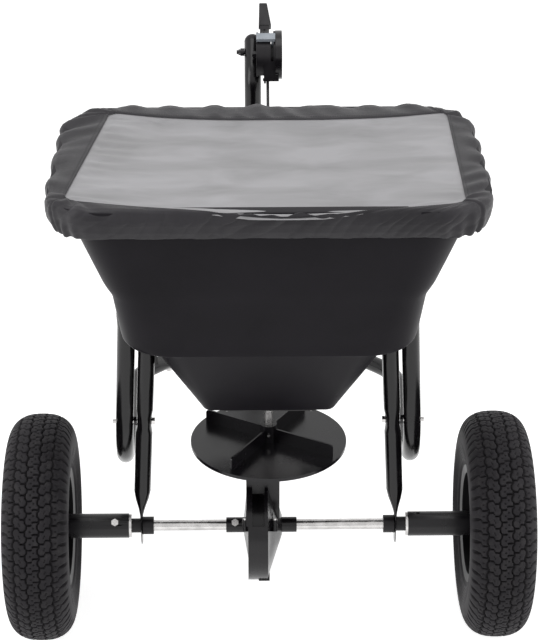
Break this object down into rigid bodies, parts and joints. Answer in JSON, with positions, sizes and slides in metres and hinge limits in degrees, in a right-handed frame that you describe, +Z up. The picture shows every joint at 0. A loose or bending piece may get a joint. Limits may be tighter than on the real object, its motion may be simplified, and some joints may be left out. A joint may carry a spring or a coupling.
{
  "type": "tow-behind broadcast spreader",
  "caption": "Tow-behind broadcast spreader for salt: black moulded hopper with a fabric cover, steel tube frame, spinner driven from the axle, flow lever on a post.",
  "frame": {"origin": "on the ground, at the centre of the footprint of the whole machine", "axes": "+X to the machine's right seen from behind, +Y forward in the direction of travel, towards the hitch, +Z up. The axle lies along X."},
  "size_m": [0.754, 1.0146, 0.8077],
  "materials": {
    "black_powder_coat": "gloss",
    "zinc_steel": "satin",
    "dark_steel": "satin",
    "rim_paint": "satin",
    "tyre_rubber": "matte",
    "black_rubber": "matte",
    "hopper_plastic": "matte",
    "black_plastic": "satin",
    "case_plastic": "gloss",
    "spinner_plastic": "satin",
    "pale_plastic": "matte",
    "gear_steel": "satin",
    "grey_plastic": "matte",
    "cover_fabric": "matte",
    "window_film": "satin"
  },
  "bodies": {
    "frame": {"frame_tube_left": "black_powder_coat", "frame_tube_right": "black_powder_coat", "axle_support_left": "black_powder_coat", "axle_support_right": "black_powder_coat", "frame_spacers": "dark_steel", "frame_bolts": "zinc_steel", "frame_nuts": "zinc_steel", "axle_bushing_left": "black_plastic", "axle_bushing_right": "black_plastic", "hopper": "hopper_plastic", "hopper_brace": "black_powder_coat", "rain_cover": "cover_fabric", "cover_window": "window_film", "hitch_tube": "black_powder_coat", "hitch_clevis": "black_powder_coat", "crossover_bar": "black_powder_coat", "control_post": "black_powder_coat", "post_cap": "black_plastic", "control_bracket": "black_plastic", "scale_plate": "dark_steel", "clamp_bolt": "dark_steel", "wing_nut": "dark_steel", "lever_pivot_bolt": "dark_steel", "gate_guide": "black_powder_coat", "guide_screws": "zinc_steel", "shaft_bushings": "pale_plastic", "gearbox_upper": "case_plastic", "gearbox_lower": "case_plastic", "gearbox_screws": "zinc_steel"},
    "drive_axle": {"axle": "zinc_steel", "gear_sleeve": "case_plastic", "face_gear": "gear_steel", "sleeve_bolt": "zinc_steel", "tyre_left": "tyre_rubber", "rim_left_outer": "rim_paint", "rim_left_inner": "rim_paint", "rim_bolts_left": "zinc_steel", "hub_tube_left": "dark_steel", "hub_bushings_left": "pale_plastic", "drive_bolt": "zinc_steel", "valve_stem_left": "black_rubber", "axle_washers": "zinc_steel", "cotter_pins": "zinc_steel"},
    "free_wheel": {"tyre_right": "tyre_rubber", "rim_right_outer": "rim_paint", "rim_right_inner": "rim_paint", "rim_bolts_right": "zinc_steel", "hub_tube_right": "dark_steel", "hub_bushings_right": "pale_plastic", "valve_stem_right": "black_rubber"},
    "spinner": {"impeller_shaft": "zinc_steel", "pinion": "gear_steel", "impeller": "spinner_plastic", "shaft_pins": "zinc_steel", "agitator": "zinc_steel"},
    "flow_lever": {"lever": "dark_steel", "lever_grip": "black_plastic"},
    "rod": {"control_rod": "dark_steel"},
    "gate": {"slide_gate": "zinc_steel"},
    "stop": {"stop_clamp": "grey_plastic"}
  },
  "joints": [
    {"name": "axle_spin", "type": "hinge", "parent": "frame", "child": "drive_axle", "pos_m": [0, -0.31275, 0.165], "axis": [1, 0, 0], "continuous": true},
    {"name": "free_wheel_spin", "type": "hinge", "parent": "frame", "child": "free_wheel", "pos_m": [0.33, -0.31275, 0.165], "axis": [1, 0, 0], "continuous": true},
    {"name": "spinner_spin", "type": "hinge", "parent": "frame", "child": "spinner", "pos_m": [0, -0.31275, 0.309], "axis": [0, 0, 1], "continuous": true},
    {"name": "flow_lever", "type": "hinge", "parent": "frame", "child": "flow_lever", "pos_m": [0, 0.11425, 0.741], "axis": [1, 0, 0], "range_deg": [0, 46]},
    {"name": "gate_slide", "type": "slide", "parent": "frame", "child": "gate", "axis": [0, 1, 0], "range_m": [0, 0.02975]},
    {"name": "rod_hook", "type": "hinge", "parent": "flow_lever", "child": "rod", "pos_m": [0, 0.0994, 0.70602], "axis": [1, 0, 0], "range_deg": [-46.01, 0]},
    {"name": "stop_slide", "type": "hinge", "parent": "frame", "child": "stop", "pos_m": [0, 0.11425, 0.741], "axis": [1, 0, 0], "range_deg": [0, 24]}
  ],
  "couplings": [
    {"joint": "spinner_spin", "follows": "axle_spin", "ratio": 6},
    {"joint": "gate_slide", "follows": "flow_lever", "m_per_rad": 0.036988},
    {"joint": "rod_hook", "follows": "flow_lever", "ratio": -1}
  ]
}
